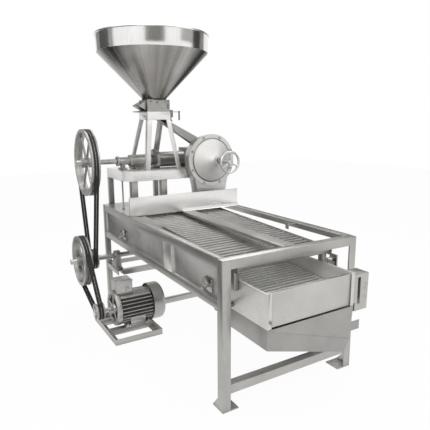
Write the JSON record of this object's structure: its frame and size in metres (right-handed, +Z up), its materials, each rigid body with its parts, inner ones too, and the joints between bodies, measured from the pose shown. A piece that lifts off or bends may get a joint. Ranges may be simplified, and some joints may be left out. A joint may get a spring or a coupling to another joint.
{
  "type": "pulse grader",
  "caption": "Stainless pulse grader: a disc mill fed by a conical hopper, driven by belts from a floor motor, above a shaking box with slotted decks in an angle table",
  "frame": {"origin": "middle of the whole machine's base, on the floor", "axes": "+Z up; -Y is the front, where the shaking box comes out; +X is to the right seen from the front, the mill's side"},
  "size_m": [1.273, 2.124, 2.112],
  "materials": {
    "sheet_steel": "mill-finish stainless sheet, softly brushed",
    "deck_steel": "punched stainless sheet, brushed",
    "angle_steel": "stainless angle, lengthwise grain, welded corners",
    "spun_cover": "spun stainless with circular grain",
    "machined_steel": "turned and milled steel",
    "cast_grey": "cast, grey, machined rims",
    "motor_alloy": "cast aluminium housing",
    "belt_rubber": "black wedge belt"
  },
  "bodies": {
    "frame": {"legs": "angle_steel", "top_rails": "angle_steel", "cross_rails": "angle_steel", "side_rails": "angle_steel", "side_panels": "sheet_steel", "jack_rails": "angle_steel", "deflector": "sheet_steel", "rear_cover": "sheet_steel", "platform": "angle_steel", "platform_posts": "angle_steel", "hanger_brackets": "angle_steel", "upper_belts": "belt_rubber", "lower_belts": "belt_rubber", "motor_base": "angle_steel", "motor_body": "motor_alloy", "fan_cowl": "motor_alloy", "terminal_box": "motor_alloy", "shaft_housing": "cast_grey", "bearings": "machined_steel", "gear_case": "cast_grey", "mill_casing": "sheet_steel", "mill_cover": "spun_cover", "mill_bolts": "machined_steel", "fixed_stone": "cast_grey", "feed_throat": "machined_steel", "feed_chute": "sheet_steel", "hopper": "sheet_steel", "outlet_box": "sheet_steel", "stand_head": "sheet_steel", "stand_legs": "angle_steel"},
    "drive": {"big_pulley": "cast_grey", "drive_shaft": "machined_steel"},
    "mill_rotor": {"running_stone": "cast_grey", "mill_spindle": "machined_steel"},
    "countershaft": {"jack_pulleys": "cast_grey", "jack_shaft": "machined_steel"},
    "motor_rotor": {"motor_pulley": "cast_grey", "motor_shaft": "machined_steel"},
    "sieve_box": {"box_walls": "sheet_steel", "tray_floor": "sheet_steel", "pan": "sheet_steel", "side_chute": "sheet_steel", "lower_deck": "deck_steel", "upper_deck": "deck_steel", "upper_frame": "angle_steel", "lower_pins": "machined_steel"},
    "front_gate": {"front_plate": "sheet_steel"},
    "box_latch": {"front_latch": "machined_steel"},
    "hanger_fl": {"hanger_front_left": "machined_steel"},
    "hanger_fr": {"hanger_front_right": "machined_steel"},
    "hanger_bl": {"hanger_back_left": "machined_steel"},
    "hanger_br": {"hanger_back_right": "machined_steel"},
    "pushrod": {"connecting_rod": "machined_steel"},
    "cup": {"thrust_cup": "machined_steel"},
    "handwheel": {"adjusting_wheel": "machined_steel"},
    "jam_nut": {"lock_nut": "machined_steel"},
    "gate": {"slide_gate": "sheet_steel"},
    "gate_screw": {"lock_screw": "machined_steel"},
    "knob_front": {"clamp_knob_front": "machined_steel"},
    "knob_back": {"clamp_knob_back": "machined_steel"}
  },
  "joints": [
    {"name": "drive_shaft_turn", "type": "hinge", "parent": "frame", "child": "drive", "pos_m": [-0.2965, 0.748, 1.186], "axis": [1, 0, 0], "continuous": true},
    {"name": "mill_spindle_turn", "type": "hinge", "parent": "frame", "child": "mill_rotor", "pos_m": [0.4335, 0.604, 1.186], "axis": [0, 1, 0], "continuous": true},
    {"name": "countershaft_turn", "type": "hinge", "parent": "frame", "child": "countershaft", "pos_m": [-0.2965, 0.748, 0.436], "axis": [1, 0, 0], "continuous": true},
    {"name": "motor_rotor_turn", "type": "hinge", "parent": "frame", "child": "motor_rotor", "pos_m": [-0.2965, 0.366, 0.157], "axis": [1, 0, 0], "continuous": true},
    {"name": "box_shake", "type": "slide", "parent": "frame", "child": "sieve_box", "axis": [0, 1, 0], "range_m": [-0.006, 0.006]},
    {"name": "front_plate_lift", "type": "slide", "parent": "sieve_box", "child": "front_gate", "axis": [0, 0, 1], "range_m": [0, 0.15]},
    {"name": "front_latch_turn", "type": "hinge", "parent": "sieve_box", "child": "box_latch", "pos_m": [-0.1185, -1.054, 0.52], "axis": [0, 1, 0], "range_deg": [-90, 90]},
    {"name": "hanger_fl_swing", "type": "hinge", "parent": "frame", "child": "hanger_fl", "pos_m": [-0.2315, -0.736, 0.645], "axis": [1, 0, 0], "range_deg": [-2.8, 2.8]},
    {"name": "hanger_fr_swing", "type": "hinge", "parent": "frame", "child": "hanger_fr", "pos_m": [0.5585, -0.736, 0.645], "axis": [1, 0, 0], "range_deg": [-2.8, 2.8]},
    {"name": "hanger_bl_swing", "type": "hinge", "parent": "frame", "child": "hanger_bl", "pos_m": [-0.2315, 0.504, 0.645], "axis": [1, 0, 0], "range_deg": [-2.8, 2.8]},
    {"name": "hanger_br_swing", "type": "hinge", "parent": "frame", "child": "hanger_br", "pos_m": [0.5585, 0.504, 0.645], "axis": [1, 0, 0], "range_deg": [-2.8, 2.8]},
    {"name": "pushrod_swing", "type": "hinge", "parent": "sieve_box", "child": "pushrod", "pos_m": [0.1635, 0.524, 0.45], "axis": [1, 0, 0], "range_deg": [-1.5, 1.5]},
    {"name": "cup_advance", "type": "slide", "parent": "frame", "child": "cup", "axis": [0, 1, 0], "range_m": [-0.002, 0.002]},
    {"name": "handwheel_turn", "type": "hinge", "parent": "frame", "child": "handwheel", "pos_m": [0.4335, 0.164, 1.186], "axis": [0, 1, 0], "range_deg": [-360, 360]},
    {"name": "jam_nut_turn", "type": "hinge", "parent": "frame", "child": "jam_nut", "pos_m": [0.4335, 0.294, 1.186], "axis": [0, 1, 0], "range_deg": [-120, 120]},
    {"name": "gate_slide", "type": "slide", "parent": "frame", "child": "gate", "axis": [1, 0, 0], "range_m": [-0.055, 0]},
    {"name": "gate_screw_turn", "type": "hinge", "parent": "frame", "child": "gate_screw", "pos_m": [0.1845, 0.636, 1.5], "axis": [0, 0, 1], "range_deg": [-180, 180]},
    {"name": "knob_front_turn", "type": "hinge", "parent": "frame", "child": "knob_front", "pos_m": [-0.2965, -0.736, 0.645], "axis": [1, 0, 0], "range_deg": [-90, 90]},
    {"name": "knob_back_turn", "type": "hinge", "parent": "frame", "child": "knob_back", "pos_m": [-0.2965, 0.504, 0.645], "axis": [1, 0, 0], "range_deg": [-90, 90]}
  ],
  "couplings": [
    {"joint": "mill_spindle_turn", "follows": "drive_shaft_turn", "ratio": -1},
    {"joint": "countershaft_turn", "follows": "drive_shaft_turn", "ratio": 3.1125},
    {"joint": "motor_rotor_turn", "follows": "drive_shaft_turn", "ratio": 10.09},
    {"joint": "cup_advance", "follows": "handwheel_turn", "m_per_rad": 0.00031831},
    {"joint": "hanger_fl_swing", "follows": "box_shake", "rad_per_m": 7.4074},
    {"joint": "hanger_fr_swing", "follows": "box_shake", "rad_per_m": 7.4074},
    {"joint": "hanger_bl_swing", "follows": "box_shake", "rad_per_m": 7.4074},
    {"joint": "hanger_br_swing", "follows": "box_shake", "rad_per_m": 7.4074}
  ]
}
